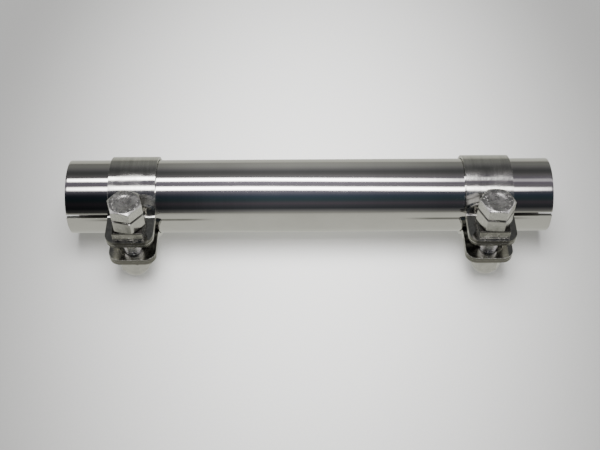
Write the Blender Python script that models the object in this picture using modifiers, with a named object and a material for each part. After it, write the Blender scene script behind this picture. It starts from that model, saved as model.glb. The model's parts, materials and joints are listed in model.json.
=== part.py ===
"""Stainless exhaust link pipe: a slotted balance tube with a wide band clamp on each end.

Metres, +Z up. X runs along the pipe, -Y faces the clamp ears. The origin is the middle of
the ground under the object, which stands on its two bands and its two dome nuts.
"""
import math

import bmesh
import bpy
from mathutils import Matrix, Vector

# ---- driving dimensions (metres) -------------------------------------------------------
PIPE_LENGTH = 0.207
PIPE_DIAMETER = 0.03175
PIPE_WALL = 0.0016
PIPE_EDGE_ROUND = 0.0003

SLOT_LENGTH = 0.032
SLOT_WIDTH = 0.0017
SLOT_COUNT = 2
SLOT_ANGLE = math.radians(22.0)      # first slot, from -Y up towards +Z

LEFT_CLAMP_INSET = 0.0284            # clamp centre from the pipe's left end
RIGHT_CLAMP_INSET = 0.0272
BAND_WIDTH = 0.020
BAND_THICKNESS = 0.0012
BAND_FIT = 0.00025                   # radial gap between pipe and band
EAR_GAP = 0.0084                     # between the two ears' inner faces
EAR_MARGIN = 0.0011                  # ear beyond the stack's footprint
EAR_CORNER = 0.0048
ROOT_FILLET = 0.0034                 # outside bend radius where the ear leaves the band
PLATE_THICKNESS = 0.0015
PLATE_ARCH_RISE = 0.0042             # how far the plate's arched end climbs the band
JOINT_GAP = 0.0003                   # between pieces that touch

BOLT_DIAMETER = 0.008
BOLT_ENGAGEMENT = 0.0092             # bolt inside the dome nut
BOLT_END_CHAMFER = 0.0008
HEX_FLATS = 0.013
HEX_FACE_SHARE = 0.475               # radius of a hexagon's chamfer circle, of its flats
HEX_CHAMFER = math.radians(30)
HEAD_HEIGHT = 0.0053
NUT_HEIGHT = 0.0065
DOME_BORE_SPARE = 0.001              # blind bore beyond the bolt's end
DOME_WALL = 0.0005
BLOCK_SIDE = 0.0126
BLOCK_HEIGHT = 0.0044
BLOCK_EDGE_ROUND = 0.0004
THREAD_FIT = 0.0003                  # radial gap between bolt and threaded bores
PLATE_HOLE_FIT = 0.0004              # radial gap between bolt and plate holes
EAR_HOLE_FIT = 0.00165               # radial gap between bolt and the band's ear holes

LEFT_HEX_TURN = math.radians(-12.0)  # how far each clamp's hexagons are turned
RIGHT_HEX_TURN = math.radians(-4.0)

ROUND_STEPS = 96
SMALL_STEPS = 36
MERGE = 0.00001
PIERCE = 0.004                       # how far a cutter runs past what it cuts

# ---- sizes that follow from the driving ones -------------------------------------------
PIPE_RADIUS = PIPE_DIAMETER / 2
BAND_INNER = PIPE_RADIUS + BAND_FIT
BAND_OUTER = BAND_INNER + BAND_THICKNESS
EAR_INNER = EAR_GAP / 2
EAR_OUTER = EAR_INNER + BAND_THICKNESS
PLATE_INNER = EAR_OUTER + JOINT_GAP
PLATE_OUTER = PLATE_INNER + PLATE_THICKNESS
HEX_CORNERS = HEX_FLATS / math.cos(math.pi / 6)
HEX_FACE = HEX_FLATS * HEX_FACE_SHARE
SEAT_REACH = max(HEX_FACE, BLOCK_SIDE / 2)
ROOT_HEIGHT = EAR_OUTER + ROOT_FILLET
EAR_ROOT = math.sqrt((BAND_OUTER + ROOT_FILLET) ** 2 - ROOT_HEIGHT ** 2)
ROOT_ANGLE = math.atan2(ROOT_HEIGHT, EAR_ROOT)
BOLT_REACH = EAR_ROOT + SEAT_REACH   # pipe axis to bolt axis
EAR_REACH = BOLT_REACH + SEAT_REACH + EAR_MARGIN

BOLT_RADIUS = BOLT_DIAMETER / 2
THREAD_BORE = BOLT_RADIUS + THREAD_FIT
BLOCK_BASE = PLATE_OUTER + JOINT_GAP
SPACER_BASE = BLOCK_BASE + BLOCK_HEIGHT + JOINT_GAP
HEAD_BASE = SPACER_BASE + NUT_HEIGHT + JOINT_GAP
DOME_FACE = -PLATE_OUTER - JOINT_GAP
BOLT_END = DOME_FACE - BOLT_ENGAGEMENT
DOME_BORE_END = BOLT_END - DOME_BORE_SPARE
DOME_RADIUS = HEX_FACE
DOME_HOLLOW = math.sqrt((DOME_RADIUS - DOME_WALL) ** 2 - THREAD_BORE ** 2)
DOME_CENTRE = min(DOME_FACE - NUT_HEIGHT, DOME_BORE_END + DOME_HOLLOW)


def standing_tilt():
    """How far the ears tip up when both bands and both dome nuts touch the ground."""
    reach = math.hypot(BOLT_REACH, DOME_CENTRE)
    below = math.atan2(-DOME_CENTRE, BOLT_REACH)
    return below + math.asin((DOME_RADIUS - BAND_OUTER) / reach)


TILT = standing_tilt()

# ---- scene helpers ---------------------------------------------------------------------
for old in list(bpy.data.objects):
    bpy.data.objects.remove(old, do_unlink=True)

PARTS = bpy.data.collections.new("exhaust_link_pipe")
CUTTERS = bpy.data.collections.new("cutters")
bpy.context.scene.collection.children.link(PARTS)
bpy.context.scene.collection.children.link(CUTTERS)


def finish_material(name, colour, roughness):
    material = bpy.data.materials.new(name)
    material.use_nodes = True
    shader = material.node_tree.nodes["Principled BSDF"]
    shader.inputs["Base Color"].default_value = (*colour, 1.0)
    shader.inputs["Metallic"].default_value = 1.0
    shader.inputs["Roughness"].default_value = roughness
    return material


POLISHED = finish_material("polished_tube", (0.74, 0.73, 0.71), 0.06)
SATIN = finish_material("satin_band", (0.63, 0.62, 0.60), 0.28)
PLATE = finish_material("polished_plate", (0.66, 0.65, 0.62), 0.12)
BOLT_STEEL = finish_material("bolt_steel", (0.60, 0.59, 0.56), 0.30)
NUT_STEEL = finish_material("nut_steel", (0.64, 0.63, 0.60), 0.22)
BLOCK_STEEL = finish_material("block_steel", (0.58, 0.57, 0.54), 0.25)


def add_object(name, data, collection, parent=None):
    made = bpy.data.objects.new(name, data)
    collection.objects.link(made)
    made.parent = parent
    return made


def add_mesh(name, bm, collection, parent=None):
    mesh = bpy.data.meshes.new(name)
    bm.to_mesh(mesh)
    bm.free()
    return add_object(name, mesh, collection, parent)


def as_cutter(cutter):
    cutter.hide_render = True
    cutter.display_type = "WIRE"
    return cutter


def combine(target, tool, operation):
    """Boolean one body with another, which stays in the cutters' collection."""
    boolean = target.modifiers.new(operation.lower(), "BOOLEAN")
    boolean.operation = operation
    boolean.solver = "EXACT"
    boolean.object = tool


def as_mesh(curve_object, collection):
    """Turn a filled curve into one welded mesh object in the same place."""
    bpy.context.view_layer.update()
    graph = bpy.context.evaluated_depsgraph_get()
    mesh = bpy.data.meshes.new_from_object(curve_object.evaluated_get(graph))
    bm = bmesh.new()
    bm.from_mesh(mesh)
    bmesh.ops.remove_doubles(bm, verts=bm.verts, dist=MERGE)
    bmesh.ops.recalc_face_normals(bm, faces=bm.faces)
    bm.to_mesh(mesh)
    bm.free()
    name = curve_object.name
    placed = curve_object.matrix_local.copy()
    parent = curve_object.parent
    bpy.data.objects.remove(curve_object, do_unlink=True)
    made = add_object(name, mesh, collection, parent)
    made.matrix_local = placed
    return made


def flat_outline(name, points, thickness, collection, parent):
    """A filled 2D outline, extruded half its thickness to each side, as a mesh."""
    curve = bpy.data.curves.new(name, "CURVE")
    curve.dimensions = "2D"
    curve.fill_mode = "BOTH"
    curve.extrude = thickness / 2
    spline = curve.splines.new("POLY")
    spline.points.add(len(points) - 1)
    for point, (x, y) in zip(spline.points, points):
        point.co = (x, y, 0.0, 1.0)
    spline.use_cyclic_u = True
    return as_mesh(add_object(name, curve, collection, parent), collection)


def arc(centre, radius, start, stop, steps):
    """Points on an arc from one angle to another, both ends included."""
    points = []
    for step in range(steps + 1):
        angle = start + (stop - start) * step / steps
        points.append((centre[0] + radius * math.cos(angle), centre[1] + radius * math.sin(angle)))
    return points


def turned(name, profile, steps, collection, parent=None):
    """A closed body turned about local Z from (radius, height) points, top to bottom."""
    bm = bmesh.new()
    chain = [bm.verts.new((radius, 0.0, height)) for radius, height in profile]
    for upper, lower in zip(chain, chain[1:]):
        bm.edges.new((upper, lower))
    made = add_mesh(name, bm, collection, parent)
    screw = made.modifiers.new("turn", "SCREW")
    screw.steps = steps
    screw.render_steps = steps
    screw.use_merge_vertices = True
    screw.merge_threshold = MERGE
    return made


def rod(name, radius, low, high, collection, parent=None, steps=SMALL_STEPS):
    """A plain round bar about local Z between two heights."""
    bm = bmesh.new()
    bmesh.ops.create_cone(bm, cap_ends=True, segments=steps, radius1=radius, radius2=radius,
                          depth=high - low)
    bmesh.ops.translate(bm, verts=bm.verts, vec=(0, 0, (high + low) / 2))
    return add_mesh(name, bm, collection, parent)


def block(name, size, centre, collection, parent=None):
    bm = bmesh.new()
    bmesh.ops.create_cube(bm, size=1.0)
    bmesh.ops.scale(bm, verts=bm.verts, vec=size)
    bmesh.ops.translate(bm, verts=bm.verts, vec=centre)
    return add_mesh(name, bm, collection, parent)


def hexagon(name, low, high, collection, parent):
    """A hexagonal prism about local Z with two flats square to local X."""
    bm = bmesh.new()
    bmesh.ops.create_cone(bm, cap_ends=True, segments=6, radius1=HEX_CORNERS / 2,
                          radius2=HEX_CORNERS / 2, depth=high - low)
    bmesh.ops.rotate(bm, verts=bm.verts, matrix=Matrix.Rotation(math.pi / 6, 3, "Z"))
    bmesh.ops.translate(bm, verts=bm.verts, vec=(0, 0, (high + low) / 2))
    return add_mesh(name, bm, collection, parent)


def chamfer_body(name, low, high, chamfer_low, chamfer_high, collection, parent):
    """The turned envelope that cuts a hexagon's corners at 30 degrees."""
    face = HEX_FACE
    reach = HEX_CORNERS / 2 + PIERCE
    drop = (reach - face) * math.tan(HEX_CHAMFER)
    profile = [(0.0, high)]
    if chamfer_high:
        profile += [(face, high)]
    else:
        profile += [(reach, high)]
    if chamfer_high and chamfer_low and 2 * drop > high - low:
        middle = face + (high - low) / 2 / math.tan(HEX_CHAMFER)
        profile += [(middle, (high + low) / 2)]
    else:
        if chamfer_high:
            profile += [(reach, max(high - drop, low))]
        if chamfer_low:
            profile += [(reach, min(low + drop, high))]
    profile += [(face if chamfer_low else reach, low), (0.0, low)]
    return as_cutter(turned(name, profile, SMALL_STEPS, collection, parent))


def shade(target, angle=35.0):
    target.data.shade_smooth()
    target.data.set_sharp_from_angle(angle=math.radians(angle))


def dress(target, material):
    target.data.materials.clear()
    target.data.materials.append(material)


# ---- pipe ------------------------------------------------------------------------------
def build_pipe(parent):
    """The tube, turned about X, with open slots at both ends."""
    half = PIPE_LENGTH / 2
    inner = PIPE_RADIUS - PIPE_WALL
    edge = PIPE_EDGE_ROUND
    profile = [(inner, half), (PIPE_RADIUS - edge, half), (PIPE_RADIUS, half - edge),
               (PIPE_RADIUS, edge - half), (PIPE_RADIUS - edge, -half), (inner, -half),
               (inner, half)]
    pipe = turned("pipe", profile, ROUND_STEPS, PARTS, parent)
    pipe.rotation_euler = (0, math.pi / 2, 0)
    for side in (-1, 1):
        for index in range(SLOT_COUNT):
            angle = SLOT_ANGLE + index * 2 * math.pi / SLOT_COUNT
            cut_slot(pipe, parent, side, index, angle)
    shade(pipe)
    dress(pipe, POLISHED)
    return pipe


def cut_slot(pipe, parent, side, index, angle):
    """One slot through one wall: a round-ended outline, open at the pipe's end."""
    half = PIPE_LENGTH / 2
    radius = SLOT_WIDTH / 2
    turn = (half - SLOT_LENGTH + radius) * side
    outline = arc((turn, 0.0), radius, math.pi / 2, math.pi * 3 / 2, 10)
    if side < 0:
        outline = arc((turn, 0.0), radius, -math.pi / 2, math.pi / 2, 10)
    outer = (half + PIERCE) * side
    outline = outline + [(outer, outline[-1][1]), (outer, outline[0][1])]
    depth = PIPE_WALL + PIERCE
    cutter = flat_outline(f"slot_{side}_{index}", outline, depth, CUTTERS, parent)
    away = Vector((0, -math.cos(angle), math.sin(angle)))
    across = away.cross(Vector((1, 0, 0)))
    frame = Matrix((Vector((1, 0, 0)), across, away)).transposed().to_4x4()
    middle = PIPE_RADIUS - PIPE_WALL / 2
    cutter.matrix_local = Matrix.Translation(away * middle) @ frame
    combine(pipe, as_cutter(cutter), "DIFFERENCE")


# ---- clamp -----------------------------------------------------------------------------
def upper_path(offset):
    """One ear's line from the band's crown to the tip, offset outwards from the band's outside.

    The points are (along the ear, up the bolt), for the upper ear.
    """
    centre = (EAR_ROOT, ROOT_HEIGHT)
    bend = arc(centre, ROOT_FILLET - offset, math.pi + ROOT_ANGLE, math.pi * 3 / 2, 10)
    return bend + [(EAR_REACH, EAR_OUTER + offset)]


def band_outline():
    """The whole strip: outside from lower tip round to upper tip, then back inside."""
    def half(offset):
        crown = arc((0.0, 0.0), BAND_OUTER + offset, math.pi, ROOT_ANGLE, 36)
        return crown[:-1] + upper_path(offset)

    def mirrored(points):
        return [(x, -y) for x, y in reversed(points)]

    outside = half(0.0)
    inside = half(-BAND_THICKNESS)
    return mirrored(outside)[:-1] + outside + list(reversed(inside))[:-1] + mirrored(inside)[::-1]


def plate_outline():
    """The upper ear's reinforcing plate: up the band, round the bend, out to the tip."""
    climb = PLATE_ARCH_RISE / BAND_OUTER
    near = arc((0.0, 0.0), BAND_OUTER + JOINT_GAP, ROOT_ANGLE + climb, ROOT_ANGLE, 6)
    near = near[:-1] + upper_path(JOINT_GAP)
    far_offset = JOINT_GAP + PLATE_THICKNESS
    far = arc((0.0, 0.0), BAND_OUTER + far_offset, ROOT_ANGLE + climb, ROOT_ANGLE, 6)
    far = far[:-1] + upper_path(far_offset)
    return near + list(reversed(far))


def tip_cutter(parent, name):
    """What lies outside the ears' rounded tips, as a frame round their outline."""
    half = BAND_WIDTH / 2
    inner = EAR_REACH - EAR_CORNER
    low = arc((inner, half - EAR_CORNER), EAR_CORNER, math.pi / 2, 0.0, 8)
    high = arc((inner, EAR_CORNER - half), EAR_CORNER, 0.0, -math.pi / 2, 8)
    wide = half + PIERCE
    outline = [(inner, wide)] + low + high + [(inner, -wide)]
    outline += [(EAR_REACH + PIERCE, -wide), (EAR_REACH + PIERCE, wide)]
    cutter = flat_outline(name, outline, 2 * (PLATE_OUTER + PIERCE), CUTTERS, parent)
    cutter.rotation_euler = (math.pi / 2, 0, 0)
    return as_cutter(cutter)


def arch_cutter(parent, name, flip):
    """What lies past the arched end of one plate, looking in along the ear."""
    half = BAND_WIDTH / 2
    foot = BAND_OUTER * math.sin(ROOT_ANGLE)
    crest = BAND_OUTER * math.sin(ROOT_ANGLE + PLATE_ARCH_RISE / BAND_OUTER)
    steps = 20
    outline = []
    for step in range(steps + 1):
        angle = math.pi * step / steps
        outline.append((half * math.cos(angle), foot + (crest - foot) * math.sin(angle)))
    top = crest + PIERCE
    wide = half + PIERCE
    outline += [(-wide, foot), (-wide, top), (wide, top), (wide, foot)]
    cutter = flat_outline(name, outline, 2 * EAR_ROOT, CUTTERS, parent)
    turned_over = Matrix.Rotation(math.pi if flip < 0 else 0.0, 4, "X")
    facing = Matrix.Translation((EAR_ROOT, 0, 0)) @ Matrix.Rotation(math.pi / 2, 4, "Y")
    cutter.matrix_local = turned_over @ facing
    return as_cutter(cutter)


def bolt_axis(parent, name, turn):
    """An empty on the bolt's axis, local Z up the bolt."""
    axis = add_object(name, None, PARTS, parent)
    axis.matrix_local = (Matrix.Translation((BOLT_REACH, 0, 0))
                         @ Matrix.Rotation(-math.pi / 2, 4, "X")
                         @ Matrix.Rotation(turn, 4, "Z"))
    return axis


def build_band(side, clamp, tips, hole):
    band = flat_outline(f"{side}_band", band_outline(), BAND_WIDTH, PARTS, clamp)
    combine(band, tips, "DIFFERENCE")
    combine(band, hole, "DIFFERENCE")
    shade(band)
    dress(band, SATIN)


def build_plates(side, clamp, tips, arches, hole):
    """The outer layer of each ear; the lower one is the upper one turned over."""
    for name, flip in (("upper", 1), ("lower", -1)):
        points = [(x, y * flip) for x, y in plate_outline()]
        plate = flat_outline(f"{side}_{name}_ear_plate", points, BAND_WIDTH, PARTS, clamp)
        combine(plate, tips, "DIFFERENCE")
        combine(plate, arches[flip], "DIFFERENCE")
        combine(plate, hole, "DIFFERENCE")
        shade(plate)
        dress(plate, PLATE)


def build_bolt(side, axis):
    """Hexagon head and plain shank, one piece."""
    top = HEAD_BASE + HEAD_HEIGHT
    bolt = hexagon(f"{side}_bolt", HEAD_BASE, top, PARTS, axis)
    envelope = chamfer_body(f"{side}_head_envelope", HEAD_BASE, top, False, True, CUTTERS, axis)
    combine(bolt, envelope, "INTERSECT")
    chamfer = BOLT_END_CHAMFER
    overlap = HEAD_BASE + HEAD_HEIGHT / 2
    shank_profile = [(0.0, overlap), (BOLT_RADIUS, overlap), (BOLT_RADIUS, BOLT_END + chamfer),
                     (BOLT_RADIUS - chamfer, BOLT_END), (0.0, BOLT_END)]
    shank = as_cutter(turned(f"{side}_shank", shank_profile, SMALL_STEPS, CUTTERS, axis))
    combine(bolt, shank, "UNION")
    shade(bolt, 25.0)
    dress(bolt, BOLT_STEEL)


def build_spacer_nut(side, axis):
    """A full nut run up under the head as a distance piece."""
    top = SPACER_BASE + NUT_HEIGHT
    nut = hexagon(f"{side}_spacer_nut", SPACER_BASE, top, PARTS, axis)
    envelope = chamfer_body(f"{side}_spacer_envelope", SPACER_BASE, top, True, True, CUTTERS, axis)
    combine(nut, envelope, "INTERSECT")
    bore = rod(f"{side}_spacer_bore", THREAD_BORE, SPACER_BASE - PIERCE, top + PIERCE,
               CUTTERS, axis)
    combine(nut, as_cutter(bore), "DIFFERENCE")
    shade(nut, 25.0)
    dress(nut, NUT_STEEL)


def build_spacer_block(side, axis, turn):
    """The square block that stands on the upper ear and carries the stack."""
    middle = BLOCK_BASE + BLOCK_HEIGHT / 2
    body = block(f"{side}_spacer_block", (BLOCK_SIDE, BLOCK_SIDE, BLOCK_HEIGHT), (0, 0, middle),
                 PARTS, axis)
    body.rotation_euler = (0, 0, -turn)
    bevel = body.modifiers.new("edges", "BEVEL")
    bevel.width = BLOCK_EDGE_ROUND
    bevel.segments = 2
    bore = rod(f"{side}_block_bore", BOLT_RADIUS + PLATE_HOLE_FIT, BLOCK_BASE - PIERCE,
               BLOCK_BASE + BLOCK_HEIGHT + PIERCE, CUTTERS, axis)
    combine(body, as_cutter(bore), "DIFFERENCE")
    shade(body)
    dress(body, BLOCK_STEEL)


def build_dome_nut(side, axis):
    """A cap nut under the lower ear: hexagon, round dome and a blind bore."""
    hex_end = DOME_FACE - NUT_HEIGHT
    nut = hexagon(f"{side}_dome_nut", hex_end, DOME_FACE, PARTS, axis)
    envelope = chamfer_body(f"{side}_dome_envelope", hex_end, DOME_FACE, True, True,
                            CUTTERS, axis)
    combine(nut, envelope, "INTERSECT")
    overlap = DOME_FACE - NUT_HEIGHT / 2
    dome_profile = [(0.0, overlap), (DOME_RADIUS, overlap)]
    for radius, height in arc((0.0, DOME_CENTRE), DOME_RADIUS, 0.0, -math.pi / 2, 8):
        dome_profile.append((max(radius, 0.0) if height > DOME_CENTRE - DOME_RADIUS + MERGE
                             else 0.0, height))
    dome = as_cutter(turned(f"{side}_dome", dome_profile, SMALL_STEPS, CUTTERS, axis))
    combine(nut, dome, "UNION")
    bore = rod(f"{side}_dome_bore", THREAD_BORE, DOME_BORE_END, DOME_FACE + PIERCE, CUTTERS, axis)
    combine(nut, as_cutter(bore), "DIFFERENCE")
    shade(nut, 25.0)
    dress(nut, NUT_STEEL)


def build_clamp(side, place, turn, parent):
    """One complete clamp. Local X runs out along the ears, local Y up the bolt."""
    clamp = add_object(f"{side}_clamp", None, PARTS, parent)
    along = Vector((0, -math.cos(TILT), math.sin(TILT)))
    up = Vector((0, math.sin(TILT), math.cos(TILT)))
    frame = Matrix((along, up, Vector((-1, 0, 0)))).transposed().to_4x4()
    clamp.matrix_local = Matrix.Translation((place, 0, 0)) @ frame

    tips = tip_cutter(clamp, f"{side}_tip_cutter")
    arches = {}
    for flip, label in ((1, "upper"), (-1, "lower")):
        arches[flip] = arch_cutter(clamp, f"{side}_{label}_arch_cutter", flip)

    axis = bolt_axis(clamp, f"{side}_bolt_axis", turn)
    reach = PLATE_OUTER + PIERCE
    ear_hole = as_cutter(rod(f"{side}_ear_hole", BOLT_RADIUS + EAR_HOLE_FIT, -reach, reach,
                             CUTTERS, axis))
    plate_hole = as_cutter(rod(f"{side}_plate_hole", BOLT_RADIUS + PLATE_HOLE_FIT, -reach, reach,
                               CUTTERS, axis))
    build_band(side, clamp, tips, ear_hole)
    build_plates(side, clamp, tips, arches, plate_hole)
    build_bolt(side, axis)
    build_spacer_nut(side, axis)
    build_spacer_block(side, axis, turn)
    build_dome_nut(side, axis)


# ---- assembly --------------------------------------------------------------------------
def stand_on_origin(root):
    """Shift the whole object so that the middle of its box's base is at the origin."""
    bpy.context.view_layer.update()
    graph = bpy.context.evaluated_depsgraph_get()
    low = Vector((math.inf,) * 3)
    high = Vector((-math.inf,) * 3)
    for part in PARTS.objects:
        if part.type != "MESH":
            continue
        shown = part.evaluated_get(graph)
        for vertex in shown.data.vertices:
            point = shown.matrix_world @ vertex.co
            low = Vector(map(min, low, point))
            high = Vector(map(max, high, point))
    root.location = (-(low.x + high.x) / 2, -(low.y + high.y) / 2, -low.z)


def main():
    root = add_object("pipe_axis", None, PARTS)
    build_pipe(root)
    build_clamp("left", LEFT_CLAMP_INSET - PIPE_LENGTH / 2, LEFT_HEX_TURN, root)
    build_clamp("right", PIPE_LENGTH / 2 - RIGHT_CLAMP_INSET, RIGHT_HEX_TURN, root)
    stand_on_origin(root)
    bpy.context.view_layer.update()


main()
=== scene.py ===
"""Stainless exhaust link pipe: the finished look of its tube, bands, ear plates and bolt stacks.

Metres, +Z up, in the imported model's own frame. X runs along the pipe and the ears face -Y.
"""

import json
import math

import bmesh
import bpy
import numpy as np
from bpy.props import FloatProperty, FloatVectorProperty, IntProperty, PointerProperty
from bpy.types import Operator, Panel, PropertyGroup
from mathutils import Matrix, Vector


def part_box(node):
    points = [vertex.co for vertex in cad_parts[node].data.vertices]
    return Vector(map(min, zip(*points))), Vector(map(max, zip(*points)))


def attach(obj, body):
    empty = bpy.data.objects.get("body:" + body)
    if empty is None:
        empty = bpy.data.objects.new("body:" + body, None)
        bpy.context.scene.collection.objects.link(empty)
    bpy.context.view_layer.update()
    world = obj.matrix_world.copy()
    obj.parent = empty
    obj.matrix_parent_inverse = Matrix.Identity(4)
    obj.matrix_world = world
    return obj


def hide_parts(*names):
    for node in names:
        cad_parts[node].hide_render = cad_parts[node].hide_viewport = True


bl_info = {
    "name": "Exhaust Link Pipe",
    "version": (1, 0, 0),
    "blender": (4, 5, 0),
    "location": "3D View > Sidebar > Link Pipe",
    "description": "Builds the finished tube, bands, ear plates and bolt stacks of a link pipe",
    "category": "Object",
}

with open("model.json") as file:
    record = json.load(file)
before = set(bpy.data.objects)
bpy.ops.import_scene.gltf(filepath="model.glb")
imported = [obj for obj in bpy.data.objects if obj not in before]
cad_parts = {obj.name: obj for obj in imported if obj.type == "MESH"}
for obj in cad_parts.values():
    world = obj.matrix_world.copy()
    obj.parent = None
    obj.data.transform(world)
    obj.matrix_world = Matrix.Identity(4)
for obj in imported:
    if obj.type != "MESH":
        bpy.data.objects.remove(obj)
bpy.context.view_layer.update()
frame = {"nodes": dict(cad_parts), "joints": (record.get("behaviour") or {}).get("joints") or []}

SIDES = ("left", "right")
TURN = math.tau
X_AXIS = Vector((1.0, 0.0, 0.0))


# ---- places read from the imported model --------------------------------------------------
def node_points(name):
    return np.array([tuple(v.co) for v in frame["nodes"][name].data.vertices])


def measure_pipe():
    """The pipe's axis (y, z), half length and outside radius."""
    low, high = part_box("pipe")
    middle = (low + high) / 2
    points = node_points("pipe")
    radius = np.hypot(points[:, 1] - middle.y, points[:, 2] - middle.z).max()
    return middle.y, middle.z, high.x, float(radius)


AXIS_Y, AXIS_Z, PIPE_HALF, PIPE_RADIUS = measure_pipe()


class Clamp:
    """One clamp's own frame: u runs out along the ears and v up the bolt, from the pipe's axis."""

    def __init__(self, side):
        self.side = side
        joint = next(j for j in frame["joints"] if j["name"] == f"{side}_bolt_turn")
        self.up = Vector(joint["axis"]).normalized()
        self.out = Vector((0.0, -self.up.z, self.up.y))
        low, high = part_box(f"{side}_band")
        self.x = (low.x + high.x) / 2
        self.half_width = (high.x - low.x) / 2
        self.origin = Vector((self.x, AXIS_Y, AXIS_Z))
        self.band_radius = self.reach(f"{side}_band", -self.out)[1]
        self.ear_reach = self.reach(f"{side}_band", self.out)[1]
        block_low, block_high = self.reach(f"{side}_spacer_block", self.out)
        self.bolt_reach = (block_low + block_high) / 2

    def reach(self, node, direction):
        """Lowest and highest place of a CAD node along a direction, from the pipe's axis."""
        along = (node_points(node) - np.array(self.origin)) @ np.array(direction)
        return float(along.min()), float(along.max())

    def heights(self, part):
        return self.reach(f"{self.side}_{part}", self.up)

    def bolt_frame(self, turn=0.0):
        """Local Z up the bolt, local X out along the ears, turned about the bolt."""
        axes = Matrix((self.out, X_AXIS, self.up)).transposed().to_4x4()
        place = Matrix.Translation(self.origin + self.out * self.bolt_reach)
        return place @ axes @ Matrix.Rotation(turn, 4, "Z")


CLAMPS = {side: Clamp(side) for side in SIDES}


# ---- settings ---------------------------------------------------------------------------
def length(name, description, default):
    return FloatProperty(name=name, description=description, default=default, unit="LENGTH",
                         precision=5, min=0.0)


def angle(name, description, degrees):
    return FloatProperty(name=name, description=description, default=math.radians(degrees),
                         subtype="ANGLE")


def colour(name, description, default):
    return FloatVectorProperty(name=name, description=description, default=default, size=3,
                               subtype="COLOR", min=0.0, max=1.0)


def amount(name, description, default):
    return FloatProperty(name=name, description=description, default=default, min=0.0)


class TubeSizes(PropertyGroup):
    wall: length("Wall", "Thickness of the tube's wall", 0.0016)
    slot_length: length("Slot Length", "Length of each end slot, with its round end", 0.032)
    slot_width: length("Slot Width", "Width of each end slot", 0.0017)
    slot_angle: angle("Slot Angle", "First slot, from the front up towards the top", 22.0)
    rim_round: length("Rim Round", "Rounding of the sawn rims and slot edges", 0.00022)


class ClampSizes(PropertyGroup):
    strip: length("Strip", "Thickness of the band's strip", 0.0012)
    plate: length("Plate", "Thickness of the ear plates", 0.0015)
    gap: length("Ear Gap", "Space between the two ears", 0.0084)
    corner: length("Ear Corner", "Corner radius of the ears' tips", 0.0048)
    fillet: length("Root Fillet", "Outside bend radius where an ear leaves the band", 0.0034)
    arch: length("Arch Rise", "How far a plate's arched end climbs the band", 0.0042)
    edge: length("Edge Round", "Rounding of the tumbled edges", 0.00048)
    seat: length("Seat", "Visible gap left between pieces that touch", 0.00003)
    joint_gap: length("Joint Gap", "Gap between touching pieces in the packed model", 0.0003)
    ear_hole: length("Ear Hole", "Radius of the wide hole in the band's ears", 0.00565)


class StackSizes(PropertyGroup):
    flats: length("Across Flats", "Width of the hexagons across their flats", 0.013)
    face_share: amount("Face Share", "Radius of a chamfer circle as a share of the flats", 0.475)
    chamfer: angle("Chamfer", "Slope of the hexagons' corner chamfers", 30.0)
    bolt: length("Bolt", "Outside diameter of the thread", 0.008)
    pitch: length("Pitch", "Advance of the thread in one turn", 0.00125)
    thread_depth: length("Thread Depth", "Height of the thread's ridge", 0.00062)
    bore: length("Bore", "Radius of the nuts' bores", 0.00418)
    washer_face: length("Washer Face", "Height of the round seat under the head", 0.00055)
    washer_share: amount("Washer Share", "Radius of that seat as a share of the flats", 0.445)
    head_edge: length("Head Edge", "Rounding of the cold-headed edges", 0.00026)
    nut_edge: length("Nut Edge", "Rounding of the nuts' edges", 0.00013)
    block_edge: length("Block Edge", "Rounding of the square block's edges", 0.00045)
    left_turn: angle("Left Turn", "How far the left clamp's hexagons are turned", -12.0)
    right_turn: angle("Right Turn", "How far the right clamp's hexagons are turned", -4.0)
    pip_seed: IntProperty(name="Pip Seed", description="Places the raised pips", default=5)


class Finishes(PropertyGroup):
    tube: colour("Tube", "Mirror-polished tube", (0.62, 0.61, 0.595))
    band: colour("Band", "Satin strip of the bands", (0.56, 0.555, 0.53))
    plate: colour("Plate", "Polished ear plates", (0.58, 0.575, 0.545))
    bolt: colour("Bolt", "Cold-headed bolt steel", (0.64, 0.63, 0.615))
    nut: colour("Nut", "Turned nut steel", (0.58, 0.57, 0.55))
    block: colour("Block", "Square block steel", (0.50, 0.49, 0.46))
    floor: colour("Floor", "Plain pale floor", (0.80, 0.80, 0.79))


class StageSettings(PropertyGroup):
    distance: length("Camera Distance", "From the camera to the middle of the pipe", 0.439)
    elevation: angle("Camera Elevation", "Height of the camera above the horizon", 55.9)
    roll: angle("Camera Roll", "Turn of the camera about its own axis", -0.31)
    aim_x: FloatProperty(name="Aim Across", description="Sideways shift of the view",
                         default=-0.00395, unit="LENGTH", precision=5)
    aim_up: FloatProperty(name="Aim Up", description="Upward shift of the view",
                          default=-0.01293, unit="LENGTH", precision=5)
    lamp: amount("Lamp", "Radiance of the two long ceiling lamps", 15.0)
    window: amount("Window", "Radiance of the bright walls at the two sides", 1.0)
    backdrop: amount("Backdrop", "Brightness of the plain surround", 1.9)
    # the floor's own glow for the camera: painted fill light
    floor_fill: amount("Floor Fill", "Even light that softens the shadows on the floor", 0.33)
    floor_glow: amount("Floor Glow", "Brightness of the floor as the metal shows it", 0.74)
    softbox: amount("Softbox", "Power of the overhead softbox, in watts", 11.0)


GROUPS = {"pipe_tube": TubeSizes, "pipe_clamp": ClampSizes, "pipe_stack": StackSizes,
          "pipe_finish": Finishes, "pipe_stage": StageSettings}


# ---- node helpers -----------------------------------------------------------------------
def node(tree, kind, inputs=None, **settings):
    """One node, with its settings and its unlinked or linked inputs."""
    made = tree.nodes.new(kind)
    for key, value in settings.items():
        setattr(made, key, value)
    for key, value in (inputs or {}).items():
        if isinstance(value, bpy.types.NodeSocket):
            tree.links.new(value, made.inputs[key])
        else:
            made.inputs[key].default_value = value
    return made


def math_node(tree, operation, *values):
    made = node(tree, "ShaderNodeMath", dict(enumerate(values)), operation=operation)
    return made.outputs[0]


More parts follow.
